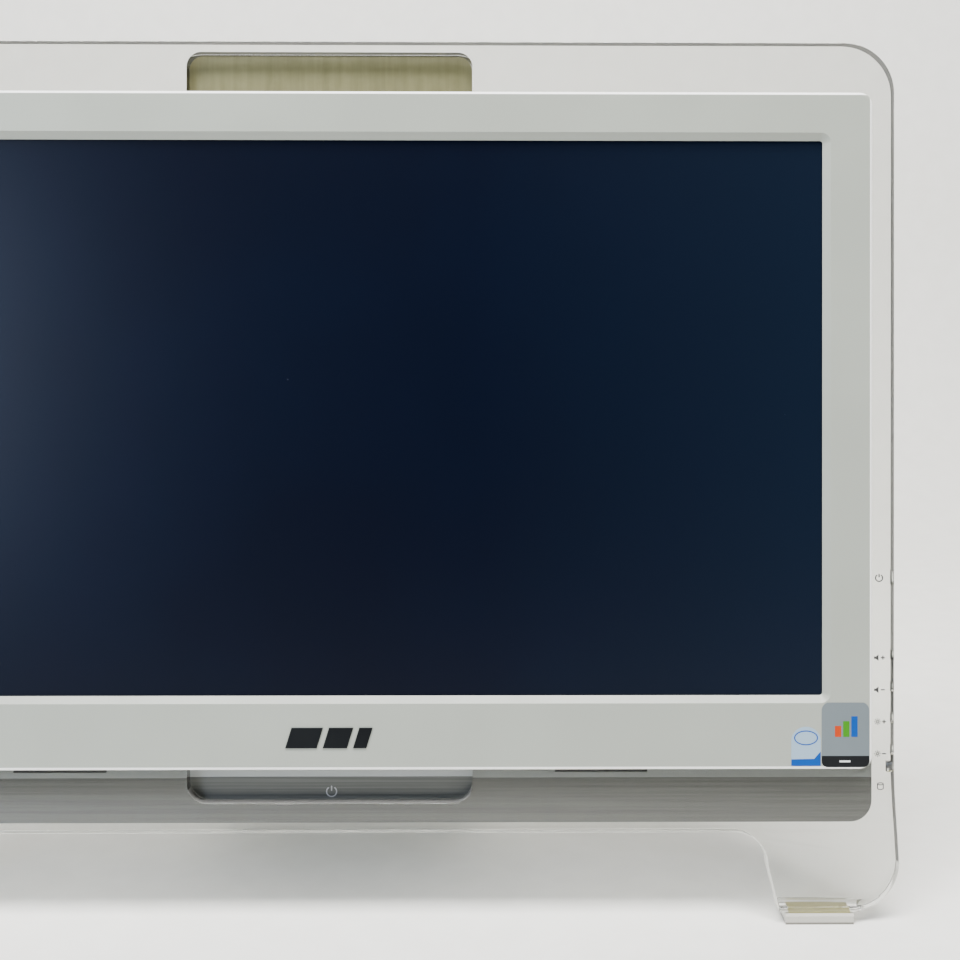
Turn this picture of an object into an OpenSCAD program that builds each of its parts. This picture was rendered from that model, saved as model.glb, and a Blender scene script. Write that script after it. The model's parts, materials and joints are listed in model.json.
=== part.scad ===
// All-in-one PC that stands on the two feet of its clear frame and on a fold-out stand behind.
// Every part is drawn in a display frame: X to the right, Y to the back, Z up along the face,
// with Y = 0 on the back of the clear frame. place() then leans the machine back about its feet.

/* [Overall] */
// Width of the clear frame above its legs
frame_w = 471; // [469:0.5:473]
// Height of the clear frame along its face
frame_h = 366.4; // [365.8:0.2:370]
// Backward lean of the machine, in degrees
lean = 10; // [8:0.5:12]

/* [Clear frame] */
// Thickness of the clear frame
plate_t = 8; // [7:0.5:8]
// Radius of the top corners
frame_corner_r = 21; // [16:1:26]
// How far each leg flares beyond the straight side
leg_flare = 2.2; // [1:0.1:2.6]
// Height of the edge between the legs
leg_gap_z = 37; // [35:0.1:38]
// Half width of the two notches
notch_half_w = 59.4; // [58.6:0.2:62]
// Top of the upper notch
notch_top = 361.8; // [360:0.2:362]
// Bottom of the lower notch
notch_bottom = 49.4; // [47:0.2:52]

/* [Front bezel] */
// Width of the white bezel
bezel_w = 450.8; // [450:0.2:452]
// Lower edge of the bezel
bezel_z0 = 64; // [63:0.2:64.4]
// Upper edge of the bezel
bezel_z1 = 344.8; // [344.2:0.2:346]
// How far the bezel stands in front of the clear frame
bezel_proud = 4; // [3.6:0.2:5]
// Corner radius of the bezel
bezel_r = 5.4; // [4:0.2:7]

/* [Display] */
// Width of the visible picture
picture_w = 409.8; // [408:0.2:411]
// Height of the visible picture
picture_h = 230.4; // [229:0.2:231]
// Height of the picture's centre
picture_z = 209.7; // [209:0.1:210.5]

/* [Lower strip] */
// Width of the brushed strip
strip_w = 455; // [450:1:456]
// Lower edge of the strip
strip_z0 = 40.1; // [39.5:0.1:41]
// Upper edge of the strip
strip_z1 = 58.8; // [58:0.2:60]

/* [Rear body] */
// Width of the rear cover
cover_w = 438; // [436:1:438]
// Back face of the rear cover
cover_y1 = 34; // [34:0.5:38]
// Height of the wall fixing's centre
vesa_z = 232; // [228:1:236]

/* [Stand] */
// Opening angle of the stand from the back cover, in degrees
stand_open = 30; // [28:1:32]
// Width of the stand
stand_w = 120; // [100:2:120]

/* [Buttons] */
// Height of the power button
power_z = 143.3; // [140:0.1:146]
// Height of the upper volume button
volume_z = 110.8; // [108:0.1:112]
// Pitch of the four small buttons
button_pitch = 13.2; // [12:0.1:13.4]
// Travel of every side button
button_travel = 0.3; // [0.2:0.05:0.35]

/* [Hidden] */
$fn = 48;

// Display-frame sizes worked out from the driving dimensions.
half_w = frame_w / 2;
front_y = -plate_t;
bezel_y = -plate_t - bezel_proud;
picture_z0 = picture_z - picture_h / 2;
picture_z1 = picture_z + picture_h / 2;
screen_y = bezel_y + 3;
module_w = 430.4;
module_h = 254.6;
module_z0 = picture_z - module_h / 2;
module_z1 = picture_z + module_h / 2;
module_y1 = 2;
window_half_w = module_w / 2 + 2.8;
window_z0 = module_z0 - 2.6;
window_z1 = module_z1 + 2.6;
skirt_t = 2;
bevel = 3;
picture_r = 1.2;

// Feet and legs.
foot_bar_h = 4.6;
foot_pad_t = 0.8;
sole_z = foot_bar_h + foot_pad_t;
sole_h = 2.2;
foot_y0 = -8.5;
foot_y1 = 4.5;
leg_in_x = 182.8;
foot_in_x = 190;
leg_r = 20;

// Middle frame, cover and chassis, from front to back.
strip_t = 1.2;
mid_y0 = 1.7;
mid_y1 = 3.7;
cover_y0 = 3.8;
cover_z0 = 43.5;
cover_z1 = 345;
cover_wall = 2.5;
cover_r = 14;
cover_edge_r = 6.5;
insert_r = 4;
seam_y = 27;
seam_gap = 0.1;
plate_y0 = 3.8;
plate_y1 = 5;
fix_z = 71;
speaker_x = 113.5;
fix_x = [-200, -90, 90, 200];

// Main board and cooling.
board_y0 = 8;
board_y1 = 9.6;
board_x0 = 5;
board_x1 = 205;
board_z0 = 58;
board_z1 = 225;
cpu_pos = [105, 197];
standoff_x = [12, 198];
standoff_z = [66, 140, 217];
fan_pos = [140, 266];
fan_half = 30;
fan_y0 = 10.7;
fan_y1 = 22.7;
pipe_r = 2.5;
pipe_y = 16.7;

// Optical drive.
drive_x0 = -216;
drive_x1 = -90;
drive_z0 = 150;
drive_z1 = 279;
drive_y0 = 12.3;
drive_y1 = 25;
disc_x = -155.5;
disc_z = 214.5;
cover_side = -cover_w / 2;

// Door over the memory, and the tab behind the carry grip.
door_z = 129;
door_screw_x = [76, 144];
tab_y0 = 1.7;

// Stand and its hinge.
hinge_y = 31;
hinge_z = 158;
pin_r = 2;
pin_gap = 0.05;
knuckle_r = 4;
stand_t = 4;
stand_pad_r = 5;
recess_half_w = 66;
recess_z1 = 172;
recess_y = 26.2;
bay_half_w = recess_half_w + 2.5;
bay_z1 = recess_z1 + 2.5;
bay_y0 = recess_y - 2.2;
bracket_x = [-45, 45];
stand_lean = stand_open - lean;
hinge_floor_z = hinge_z * cos(lean) - hinge_y * sin(lean);
hinge_back_y = hinge_z * sin(lean) + hinge_y * cos(lean);
stand_len = (hinge_floor_z - stand_pad_r) / cos(stand_lean);
rear_y = hinge_back_y + stand_len * sin(stand_lean) + stand_pad_r;
middle_y = (foot_y0 + rear_y) / 2;

// Ports behind the right-hand side.
port_plate_y = 30.5;
port_y1 = 32.4;
port_z0 = 60.5;
port_x = [80, 204.8];
usb_x = [106, 116, 126, 136];

// Side buttons.
button_y0 = -5.6;
button_y1 = -2.4;
button_depth = 2.2;
button_proud = 0.4;
light_z = [61.8, 66.2];

function button_z(i) = volume_z - i * button_pitch;

// Stands the whole machine on the desk with the box's middle at the origin.
module stand_on_desk() {
    translate([0, -middle_y, 0]) children();
}

module place() {
    stand_on_desk() rotate([-lean, 0, 0]) children();
}

// Upright plate between two X, two Z and two Y limits, with corners of radius r in the XZ plane.
module slab(x, z, y, r = 0) {
    translate([0, y[1], 0]) rotate([90, 0, 0]) linear_extrude(y[1] - y[0]) round_rect(x, z, r);
}

module round_rect(x, z, r = 0) {
    if (r == 0) {
        translate([x[0], z[0]]) square([x[1] - x[0], z[1] - z[0]]);
    } else {
        translate([x[0] + r, z[0]]) square([x[1] - x[0] - 2 * r, z[1] - z[0]]);
        translate([x[0], z[0] + r]) square([x[1] - x[0], z[1] - z[0] - 2 * r]);
        for (cx = [x[0] + r, x[1] - r], cz = [z[0] + r, z[1] - r]) {
            translate([cx, cz]) circle(r);
        }
    }
}

// Cylinder along Y from y[0] to y[1].
module rod_y(x, z, y, r) {
    translate([x, y[1], z]) rotate([90, 0, 0]) cylinder(h = y[1] - y[0], r = r);
}

// Cylinder along X from x[0] to x[1].
module rod_x(x, y, z, r) {
    translate([x[0], y, z]) rotate([0, 90, 0]) cylinder(h = x[1] - x[0], r = r);
}

// Plate with rounded corners and one rounded rim, at the front (side = -1) or the back (side = 1).
module soft_slab(x, z, y, r, edge_r, side) {
    hull() {
        for (cx = [x[0] + r, x[1] - r], cz = [z[0] + r, z[1] - r]) {
            translate([cx, side > 0 ? y[0] : y[1], cz]) rotate([side > 0 ? -90 : 90, 0, 0])
                soft_puck(r, y[1] - y[0], edge_r);
        }
    }
}

module soft_puck(r, h, edge_r) {
    rotate_extrude($fn = 32) {
        square([r - edge_r, h]);
        square([r, h - edge_r]);
        translate([r - edge_r, h - edge_r]) intersection() {
            circle(edge_r, $fn = 32);
            square(edge_r);
        }
    }
}

// --- Clear frame and feet ---

module leg_outline() {
    difference() {
        union() {
            translate([leg_in_x - 16, leg_gap_z - 2]) square([half_w - leg_in_x + 16, 8]);
            polygon([
                [leg_in_x - 16, leg_gap_z], [half_w, 60], [half_w + leg_flare, sole_z + leg_r],
                [half_w + leg_flare - leg_r, 2], [leg_in_x, 2], [leg_in_x - 16, 8],
            ]);
            translate([half_w + leg_flare - leg_r, sole_z + leg_r - 1]) circle(leg_r);
        }
        translate([leg_in_x - 14, leg_gap_z - 14]) circle(14);
        translate([leg_in_x - 40, -10]) square([40, leg_gap_z - 4]);
        translate([leg_in_x - 40, -10]) square([26, leg_gap_z + 10]);
        polygon([
            [leg_in_x - 1, leg_gap_z - 14], [leg_in_x, leg_gap_z - 14],
            [foot_in_x - 4.5, 9], [foot_in_x - 4.5, 0], [leg_in_x - 1, 0],
        ]);
    }
}

module frame_outline() {
    difference() {
        union() {
            round_rect([-half_w, half_w], [leg_gap_z + 10, frame_h], frame_corner_r);
            translate([-half_w, leg_gap_z]) square([frame_w, 100]);
            leg_outline();
            mirror([1, 0]) leg_outline();
        }
        round_rect([-window_half_w, window_half_w], [window_z0, window_z1], 3);
        round_rect([-notch_half_w, notch_half_w], [notch_bottom, picture_z], 8);
        round_rect([-notch_half_w, notch_half_w], [picture_z, notch_top], 6);
    }
}

module clear_frame() {
    color([0.93, 0.95, 0.94, 0.35]) {
        difference() {
            place() difference() {
                rotate([90, 0, 0]) linear_extrude(plate_t) frame_outline();
                for (x = fix_x) rod_y(x, fix_z, [front_y - 1, 1], 1.6);
                button_pocket(power_z, 6.4);
                for (i = [0:3]) button_pocket(button_z(i), 4.4);
                slab([half_w - 2.6, half_w + 2], light_z, [button_y0, button_y1]);
            }
            translate([-300, -300, sole_z - 60]) cube([600, 600, 60]);
        }
        for (s = [-1, 1]) stand_on_desk() sole(s);
    }
}

// Flange under each leg that spreads the load on the foot.
module sole(s) {
    x0 = s > 0 ? foot_in_x - 3 : -foot_in_x - 32;
    translate([x0, foot_y0 + 0.5, sole_z]) cube([35, foot_y1 - foot_y0 - 1, sole_h]);
}

module button_pocket(z, h) {
    slab([half_w - button_depth - 0.4, half_w + 2], [z - h / 2, z + h / 2], [button_y0, button_y1]);
}

module foot_bars() {
    color([0.9, 0.9, 0.87, 0.6]) stand_on_desk() for (s = [-1, 1]) {
        x0 = s > 0 ? foot_in_x : -foot_in_x - 28.5;
        difference() {
            translate([x0, foot_y0, 0]) cube([28.5, foot_y1 - foot_y0, foot_bar_h]);
            for (y = [foot_y0, foot_y1]) {
                translate([x0 - 1, y, foot_bar_h]) rotate([45, 0, 0])
                    translate([0, -0.7, -0.7]) cube([31, 1.4, 1.4]);
            }
        }
    }
}

module foot_adhesive() {
    color([0.72, 0.69, 0.5]) stand_on_desk() for (s = [-1, 1]) {
        x0 = s > 0 ? foot_in_x + 1.5 : -foot_in_x - 27;
        translate([x0, foot_y0 + 1, foot_bar_h]) cube([25.5, foot_y1 - foot_y0 - 2, foot_pad_t]);
    }
}

// Soft yellowed grip that fills the upper notch, held on the tab of the rear cover.
module carry_grip() {
    color([0.58, 0.56, 0.44]) place()
        slab([0.1 - notch_half_w, notch_half_w - 0.1], [340.4, notch_top - 0.1], [-2, tab_y0 - 0.1],
            5.9);
}

// --- Front ---

module front_bezel() {
    half = bezel_w / 2;
    color([0.86, 0.88, 0.85]) place() {
        difference() {
            soft_slab([-half, half], [bezel_z0, bezel_z1], [bezel_y, front_y], bezel_r, 1.5, -1);
            slab([-picture_w / 2, picture_w / 2], [picture_z0, picture_z1], [bezel_y - 1, 0], picture_r);
            bevel_cutter();
            slab([-module_w / 2 - 0.4, module_w / 2 + 0.4], [module_z0 - 0.4, module_z1 + 0.4],
                [screen_y - 0.6, 1]);
            for (x = fix_x) rod_y(x, fix_z, [bezel_y + 1.5, 0], 1.25);
        }
        bezel_skirt();
        for (x = [-150, 0, 150]) {
            slab([x - 8, x + 8], [window_z1 - 2.6, window_z1 - 0.4], [-0.5, 1.5]);
        }
    }
}

// Sloped lip that leads from the bezel's face down to the picture.
module bevel_cutter() {
    hull() {
        slab([-picture_w / 2 - bevel, picture_w / 2 + bevel],
            [picture_z0 - bevel, picture_z1 + bevel], [bezel_y - 0.1, bezel_y], bevel + picture_r);
        slab([-picture_w / 2, picture_w / 2], [picture_z0, picture_z1],
            [screen_y - 0.7, screen_y - 0.6], picture_r);
    }
}

// Wall that passes through the window of the clear frame and holds the display.
module bezel_skirt() {
    outer_w = window_half_w - 0.4;
    inner_w = outer_w - skirt_t;
    difference() {
        slab([-outer_w, outer_w], [window_z0 + 0.4, window_z1 - 0.4], [front_y - 1, 0], 2.6);
        slab([-inner_w, inner_w], [window_z0 + 0.4 + skirt_t, window_z1 - 0.4 - skirt_t],
            [front_y - 2, 1]);
    }
}

module brushed_strip() {
    half = strip_w / 2;
    color([0.62, 0.63, 0.61]) place() difference() {
        slab([-half, half], [strip_z0, strip_z1 + 20], [0.1, 0.1 + strip_t], 9);
        slab([-half - 1, half + 1], [strip_z1, strip_z1 + 30], [-1, 3]);
    }
}

module speaker_channel() {
    half = strip_w / 2;
    color([0.8, 0.81, 0.79]) place() difference() {
        slab([-half, half], [strip_z1 + 0.1, window_z0 - 0.6], [0.1, 1.6]);
        for (s = [-1, 1]) grille_slot(s, 0, [-1, 3]);
        for (x = fix_x) rod_y(x, fix_z, [-1, 3], 1.6);
    }
}

module grille_slot(s, gap, y) {
    mid = s * speaker_x;
    slab([mid - 19.5 + gap, mid + 19.5 - gap], [61.2 + gap, 63.4 - gap], y);
}

module speaker_grilles() {
    color([0.25, 0.26, 0.26]) place() for (s = [-1, 1]) grille_slot(s, 0.1, [0.6, 1.6]);
}

module middle_frame() {
    half = strip_w / 2 - 2;
    color([0.9, 0.91, 0.89]) place() difference() {
        slab([-half, half], [42.5, 344.6], [mid_y0, mid_y1], 8);
        slab([0.5 - window_half_w, window_half_w - 0.5], [window_z0 + 0.5, window_z1 - 0.5],
            [0, 5]);
        for (x = fix_x) rod_y(x, fix_z, [0, 5], 1.6);
        for (s = [-1, 1]) slab([s * speaker_x - 19, s * speaker_x + 19], [53, 66], [0, 5]);
    }
}

// --- Display module ---

module lcd_rim() {
    half = module_w / 2;
    color([0.5, 0.51, 0.53]) place() difference() {
        slab([-half, half], [module_z0, module_z1], [screen_y - 0.5, module_y1 - 1]);
        slab([-picture_w / 2 - 0.6, picture_w / 2 + 0.6], [picture_z0 - 0.6, picture_z1 + 0.6],
            [screen_y - 1, 0]);
        slab([0.6 - half, half - 0.6], [module_z0 + 0.6, module_z1 - 0.6], [screen_y, 2]);
    }
}

module lcd_cell() {
    color([0.04, 0.06, 0.12]) place()
        slab([1 - module_w / 2, module_w / 2 - 1], [module_z0 + 1, module_z1 - 1],
            [screen_y, screen_y + 1.8]);
}

module light_guide() {
    color([0.95, 0.96, 0.97]) place()
        slab([1 - module_w / 2, module_w / 2 - 1], [module_z0 + 7, module_z1 - 7],
            [screen_y + 1.9, module_y1 - 1.2]);
}

module backlight_lamps() {
    color([1, 0.98, 0.9]) place() for (z = [module_z0 + 3.8, module_z1 - 3.8]) {
        rod_x([-206, 206], (screen_y + module_y1) / 2, z, 1.2);
    }
}

module lcd_back_plate() {
    half = module_w / 2;
    color([0.7, 0.71, 0.72]) place()
        slab([-half, half], [module_z0, module_z1], [module_y1 - 0.9, module_y1]);
}

// --- Chassis ---

module chassis_plate() {
    color([0.72, 0.73, 0.74]) place() {
        difference() {
            slab([-215, 215], [52, 340], [plate_y0, plate_y1], 6);
            slab([-30, 10], [236, 250], [plate_y0 - 1, plate_y1 + 1], 3);
            for (s = [-1, 1]) slab([s * speaker_x - 19, s * speaker_x + 19], [50, 66], [0, 9]);
            for (x = fix_x) rod_y(x, fix_z, [0, 9], 1.6);
            for (x = standoff_x, z = standoff_z) rod_y(x, z, [0, 9], 1.5);
        }
        for (z = [drive_z0 + 12, drive_z1 - 12]) {
            slab([-200, -185], [z - 6, z + 6], [plate_y1 - 0.2, drive_y0]);
            slab([-115, -100], [z - 6, z + 6], [plate_y1 - 0.2, drive_y0]);
        }
        for (x = [fan_pos[0] - 26, fan_pos[0] + 20]) {
            slab([x, x + 6], [fan_pos[1] - 26, fan_pos[1] + 60], [plate_y1 - 0.2, fan_y0]);
        }
    }
}

// Four screws that clamp the front together and two that hold the service door.
module screws() {
    color([0.45, 0.45, 0.47]) place() {
        for (x = fix_x) {
            rod_y(x, fix_z, [bezel_y + 1.6, plate_y1], 1.25);
            rod_y(x, fix_z, [plate_y1, plate_y1 + 1.4], 2.6);
        }
        for (x = door_screw_x) {
            rod_y(x, door_z, [cover_y1 - 8, cover_y1 - 0.2], 1.5);
            rod_y(x, door_z, [cover_y1 - 0.2, cover_y1 + 0.8], 2.8);
        }
    }
}

module board_standoffs() {
    color([0.75, 0.62, 0.3]) place() for (x = standoff_x, z = standoff_z) {
        rod_y(x, z, [plate_y0, plate_y1 + 0.05], 1.5);
        rod_y(x, z, [plate_y1, board_y0], 2.8);
    }
}

module mainboard() {
    color([0.1, 0.38, 0.22]) place() difference() {
        slab([board_x0, board_x1], [board_z0, board_z1], [board_y0, board_y1]);
        for (x = standoff_x, z = standoff_z) rod_y(x, z, [board_y0 - 1, board_y1 + 1], 1.6);
    }
}

// Processor, graphics chip, capacitors, chokes and connectors on the main board.
module board_components() {
    place() {
        color([0.18, 0.19, 0.2]) for (x = [cpu_pos[0] - 12, cpu_pos[0] + 13]) {
            slab([x - 10, x + 10], [cpu_pos[1] - 11, cpu_pos[1] + 11], [board_y1, 11.2]);
        }
        color([0.2, 0.22, 0.3]) for (i = [0:5]) rod_y(150 + 7.5 * i, 204, [board_y1, 17], 3.2);
        color([0.3, 0.3, 0.3]) for (i = [0:2]) {
            slab([150 + 14 * i, 160 + 14 * i], [186, 196], [board_y1, 14]);
        }
        color([0.85, 0.83, 0.75]) {
            slab([24, 48], [198, 204], [board_y1, 15]);
            slab([58, 70], [198, 203], [board_y1, 14]);
            slab([12, 17], [150, 172], [board_y1, 15]);
        }
    }
}

module heat_spreader() {
    color([0.82, 0.83, 0.84]) place() difference() {
        slab([cpu_pos[0] - 25, cpu_pos[0] + 25], [cpu_pos[1] - 16, cpu_pos[1] + 16],
            [11.2, pipe_y]);
        rod_z(cpu_pos[0] - 10, pipe_y, [cpu_pos[1] - 20, cpu_pos[1] + 20], pipe_r);
    }
}

module rod_z(x, y, z, r) {
    translate([x, y, z[0]]) cylinder(h = z[1] - z[0], r = r);
}

module heat_pipe() {
    x = cpu_pos[0] - 10;
    color([0.72, 0.45, 0.3]) place() {
        rod_z(x, pipe_y, [cpu_pos[1] - 18, 314], pipe_r);
        translate([x, pipe_y, 314]) sphere(pipe_r);
        rod_x([x, 168], pipe_y, 314, pipe_r);
    }
}

module cooling_fins() {
    x0 = fan_pos[0] - fan_half;
    color([0.83, 0.84, 0.85]) place() difference() {
        union() {
            slab([x0, x0 + 60], [299, 329], [fan_y0, fan_y0 + 0.8]);
            for (i = [0:20]) {
                slab([x0 + 2.95 * i, x0 + 2.95 * i + 0.8], [299, 329], [fan_y0, fan_y1]);
            }
        }
        rod_x([x0 - 1, x0 + 61], pipe_y, 314, pipe_r);
    }
}

module blower_case() {
    x = fan_pos[0];
    z = fan_pos[1];
    color([0.16, 0.16, 0.17]) place() {
        difference() {
            slab([x - fan_half, x + fan_half], [z - fan_half, z + fan_half], [fan_y0, fan_y1], 3);
            rod_y(x, z, [fan_y0 + 1.2, fan_y1 - 1.2], 27);
            slab([x - 25, x + 25], [z, z + 31], [fan_y0 + 1.2, fan_y1 - 1.2]);
            rod_y(x, z, [fan_y0 + 5, fan_y1 + 1], 18);
        }
        rod_y(x, z, [fan_y0 + 1, fan_y0 + 9], 1.5);
    }
}

module blower_rotor() {
    x = fan_pos[0];
    z = fan_pos[1];
    color([0.2, 0.2, 0.21]) place() difference() {
        union() {
            rod_y(x, z, [fan_y0 + 1.8, fan_y0 + 10], 10);
            rod_y(x, z, [fan_y0 + 1.8, fan_y0 + 2.6], 24);
            for (i = [0:12]) {
                translate([x, fan_y0 + 1.8, z]) rotate([0, i * 360 / 13, 0])
                    translate([9, 0, -0.5]) cube([15, 7.6, 1]);
            }
        }
        rod_y(x, z, [fan_y0, fan_y0 + 9.3], 1.55);
    }
}

module memory_socket() {
    color([0.15, 0.15, 0.16]) place() difference() {
        slab([74, 146], [106, 114], [board_y1, 15]);
        slab([76, 144], [110, 120], [11.9, 13.3]);
    }
}

module memory_module() {
    color([0.12, 0.42, 0.25]) place() {
        slab([76.2, 143.8], [110.4, 142], [12, 13.1]);
        for (i = [0:3]) slab([80 + 16 * i, 92 + 16 * i], [122, 136], [13.1, 14.1]);
    }
}

module coin_cell() {
    color([0.8, 0.8, 0.8]) place() {
        rod_y(186, 160, [board_y1, 11], 11.5);
        rod_y(186, 160, [11, 14.2], 10);
    }
}

// Wireless card on its connector, and the two antennas at the top of the chassis.
module wireless_card() {
    color([0.12, 0.4, 0.24]) place() {
        slab([22, 52], [66, 116], [12.4, 13.4]);
        slab([26, 40], [76, 92], [13.4, 15]);
        slab([22, 52], [112, 120], [board_y1, 12.4]);
        for (s = [-1, 1]) {
            slab([s * 172 - 20, s * 172 + 20], [326, 337], [plate_y1, plate_y1 + 0.8]);
        }
    }
}

module hard_drive() {
    color([0.7, 0.71, 0.72]) place() slab([-200, -100], [64, 134], [14, 23.5], 2);
}

module drive_cage() {
    color([0.76, 0.77, 0.78]) place() {
        slab([-203, -97], [66, 132], [12.6, 13.8]);
        for (x = [-203, -98.2]) slab([x, x + 1.2], [80, 132], [plate_y1, 20]);
    }
}

module inverter_board() {
    color([0.15, 0.42, 0.3]) place() slab([-90, -8], [72, 90], [8, 9.4]);
    color([0.85, 0.78, 0.4]) place() {
        for (x = [-84, -34]) slab([x, x + 20], [74, 88], [9.4, 16]);
        for (x = [-86, -16]) for (z = [75, 87]) rod_y(x, z, [plate_y1, 8], 1.6);
    }
}

module speaker_boxes() {
    color([0.14, 0.14, 0.15]) place() for (s = [-1, 1]) {
        slab([s * speaker_x - 26, s * speaker_x + 26], [46.2, 51.8], [5.4, 22], 1);
        slab([s * speaker_x - 18, s * speaker_x + 18], [46.2, 57.4], [6, 22], 1);
        slab([s * speaker_x - 17, s * speaker_x + 17], [54, 65], [1.8, 8]);
    }
}

// Flat display lead and the fan, lamp and speaker leads, each a separate run.
module internal_leads() {
    color([0.3, 0.3, 0.33]) place() {
        slab([-28, 8], [240, 241], [plate_y1 - 2, 12]);
        slab([-10, 8], [207, 241], [12, 12.8]);
        slab([7.9, 24], [202, 208], [12, 12.8]);
        rod_z(64, 12.5, [203, 240], 0.8);
        rod_x([64, 110], 12.5, 240, 0.8);
        rod_x([-87.4, 87.4], 7.5, 49, 0.8);
    }
}

// --- Optical drive ---

module optical_drive_shell() {
    color([0.74, 0.75, 0.76]) place() difference() {
        slab([drive_x0, drive_x1], [drive_z0, drive_z1], [drive_y0, drive_y1]);
        slab([drive_x0 - 1, drive_x1 - 0.8], [drive_z0 + 0.8, drive_z1 - 0.8],
            [drive_y0 + 0.8, drive_y1 - 0.8]);
    }
}

module disc_tray() {
    color([0.22, 0.22, 0.23]) place() difference() {
        slab([drive_x0 - 0.6, -93], [drive_z0 + 2, drive_z1 - 2], [15, 22.6]);
        rod_y(disc_x, disc_z, [14, 17], 60);
        rod_y(disc_x, disc_z, [14, 18.4], 9);
        rod_y(disc_x, disc_z, [18, 21], 1.55);
        slab([disc_x + 9.5, disc_x + 50], [disc_z - 9, disc_z + 9], [14, 21]);
    }
}

module tray_bezel() {
    color([0.9, 0.91, 0.89]) place() difference() {
        slab([cover_side, cover_side + 2.4], [drive_z0 + 0.3, drive_z1 - 0.3],
            [drive_y0 + 0.3, drive_y1 - 0.3]);
        slab([cover_side - 1, cover_side + 3], [168, 180], [17, 20]);
    }
}

module eject_button() {
    color([0.85, 0.86, 0.84]) place() {
        slab([cover_side - 0.5, cover_side + 1.6], [168.3, 179.7], [17.3, 19.7]);
    }
}

module disc_hub() {
    color([0.6, 0.61, 0.63]) place() {
        rod_y(disc_x, disc_z, [17.2, 18.1], 8.6);
        rod_y(disc_x, disc_z, [15.2, 17.3], 7.3);
        rod_y(disc_x, disc_z, [18, 20.8], 1.5);
    }
}

module laser_pickup() {
    color([0.3, 0.3, 0.32]) place() {
        slab([disc_x + 11, disc_x + 24], [disc_z - 8.7, disc_z + 8.7], [17.4, 20.7]);
        rod_y(disc_x + 17, disc_z, [17.1, 17.5], 2);
    }
}

// --- Rear ---

// Four rails that close the sides of the housing, with the disc slot, vents and lock slot.
module cover_band() {
    half = cover_w / 2;
    side_x = half - cover_r;
    color([0.93, 0.94, 0.93]) place() {
        difference() {
            rail([-half - 1, -side_x], [cover_z0 - 1, cover_z1 + 1]);
            slab([-half - 1, cover_wall + 1 - half], [drive_z0 - 0.2, drive_z1 + 0.2],
                [drive_y0 - 0.2, drive_y1 + 0.2]);
        }
        difference() {
            rail([side_x, half + 1], [cover_z0 - 1, cover_z1 + 1]);
            translate([half - 3, 18, 88]) cube([5, 3, 7]);
        }
        difference() {
            rail([seam_gap - side_x, side_x - seam_gap], [cover_z1 - 5, cover_z1 + 1]);
            for (i = [0:8]) translate([108 + 7 * i, 10, cover_z1 - 4]) cube([3, 13, 6]);
        }
        difference() {
            rail([seam_gap - side_x, side_x - seam_gap], [cover_z0 - 1, cover_z0 + 5]);
            bay_cut();
        }
        port_sill();
    }
}

// Stretch of the housing's side wall within the given X and Z limits.
module rail(x, z) {
    half = cover_w / 2;
    intersection() {
        difference() {
            slab([-half, half], [cover_z0, cover_z1], [cover_y0, seam_y - seam_gap], cover_r);
            slab([cover_wall - half, half - cover_wall],
                [cover_z0 + cover_wall, cover_z1 - cover_wall], [cover_y0 - 1, seam_y + 1],
                cover_r - cover_wall);
        }
        slab(x, z, [cover_y0 - 2, seam_y + 2]);
    }
}

// Lip below the ports, from the bottom rail up to the port plate.
module port_sill() {
    translate([port_x[0] + 0.2, 0, 0]) rotate([90, 0, 90])
        linear_extrude(port_x[1] - port_x[0] - 0.4) polygon([
            [seam_y - 1, cover_z0], [seam_y + 2.5, cover_z0], [cover_y1 - 0.2, cover_z0 + 4],
            [cover_y1 - 0.2, 56.4], [cover_y1 - 2.6, 56.4], [cover_y1 - 2.6, cover_z0 + 5.2],
            [seam_y + 1.6, cover_z0 + cover_wall], [seam_y - 1, cover_z0 + cover_wall],
        ]);
}

// Back panel with the wall fixing, the vents and the openings for the stand, ports and door.
module rear_cover() {
    half = cover_w / 2;
    color([0.93, 0.94, 0.93]) place() difference() {
        union() {
            difference() {
                soft_slab([-half, half], [cover_z0, cover_z1], [seam_y, cover_y1], cover_r,
                    cover_edge_r, 1);
                soft_slab([cover_wall - half, half - cover_wall],
                    [cover_z0 + cover_wall, cover_z1 - cover_wall],
                    [seam_y - 1, cover_y1 - cover_wall], cover_r - cover_wall,
                    cover_edge_r - cover_wall, 1);
            }
            for (x = [-50, 50], z = [vesa_z - 50, vesa_z + 50]) {
                rod_y(x, z, [cover_y1 - 10, cover_y1 - 0.6], 6);
            }
        }
        bay_cut();
        slab([-62, 62], [vesa_z - 54.5, vesa_z + 58], [cover_y1 - 0.6, cover_y1 + 1], 6);
        for (x = [-50, 50], z = [vesa_z - 50, vesa_z + 50]) {
            rod_y(x, z, [cover_y1 - 9, cover_y1 + 1], insert_r + 0.05, $fn = 6);
        }
        slab(port_x, [cover_z0 - 9, 90], [seam_y - 1, cover_y1 + 1], 3);
        slab([69.7, 150.3], [door_z - 25.3, door_z + 25.3], [20, cover_y1 + 1], 2.4);
        rear_vents();
    }
}

// Space that the stand bay takes out of the housing.
module bay_cut() {
    slab([-bay_half_w - seam_gap, bay_half_w + seam_gap], [0, bay_z1 + seam_gap],
        [bay_y0 - seam_gap, cover_y1 + 9]);
}

// Tray in the back panel that the folded stand lies in.
module stand_bay() {
    color([0.9, 0.91, 0.9]) place() difference() {
        slab([-bay_half_w, bay_half_w], [cover_z0, bay_z1], [bay_y0, cover_y1 - 0.2]);
        slab([-recess_half_w, recess_half_w], [0, recess_z1], [recess_y, cover_y1 + 9]);
    }
}

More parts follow.
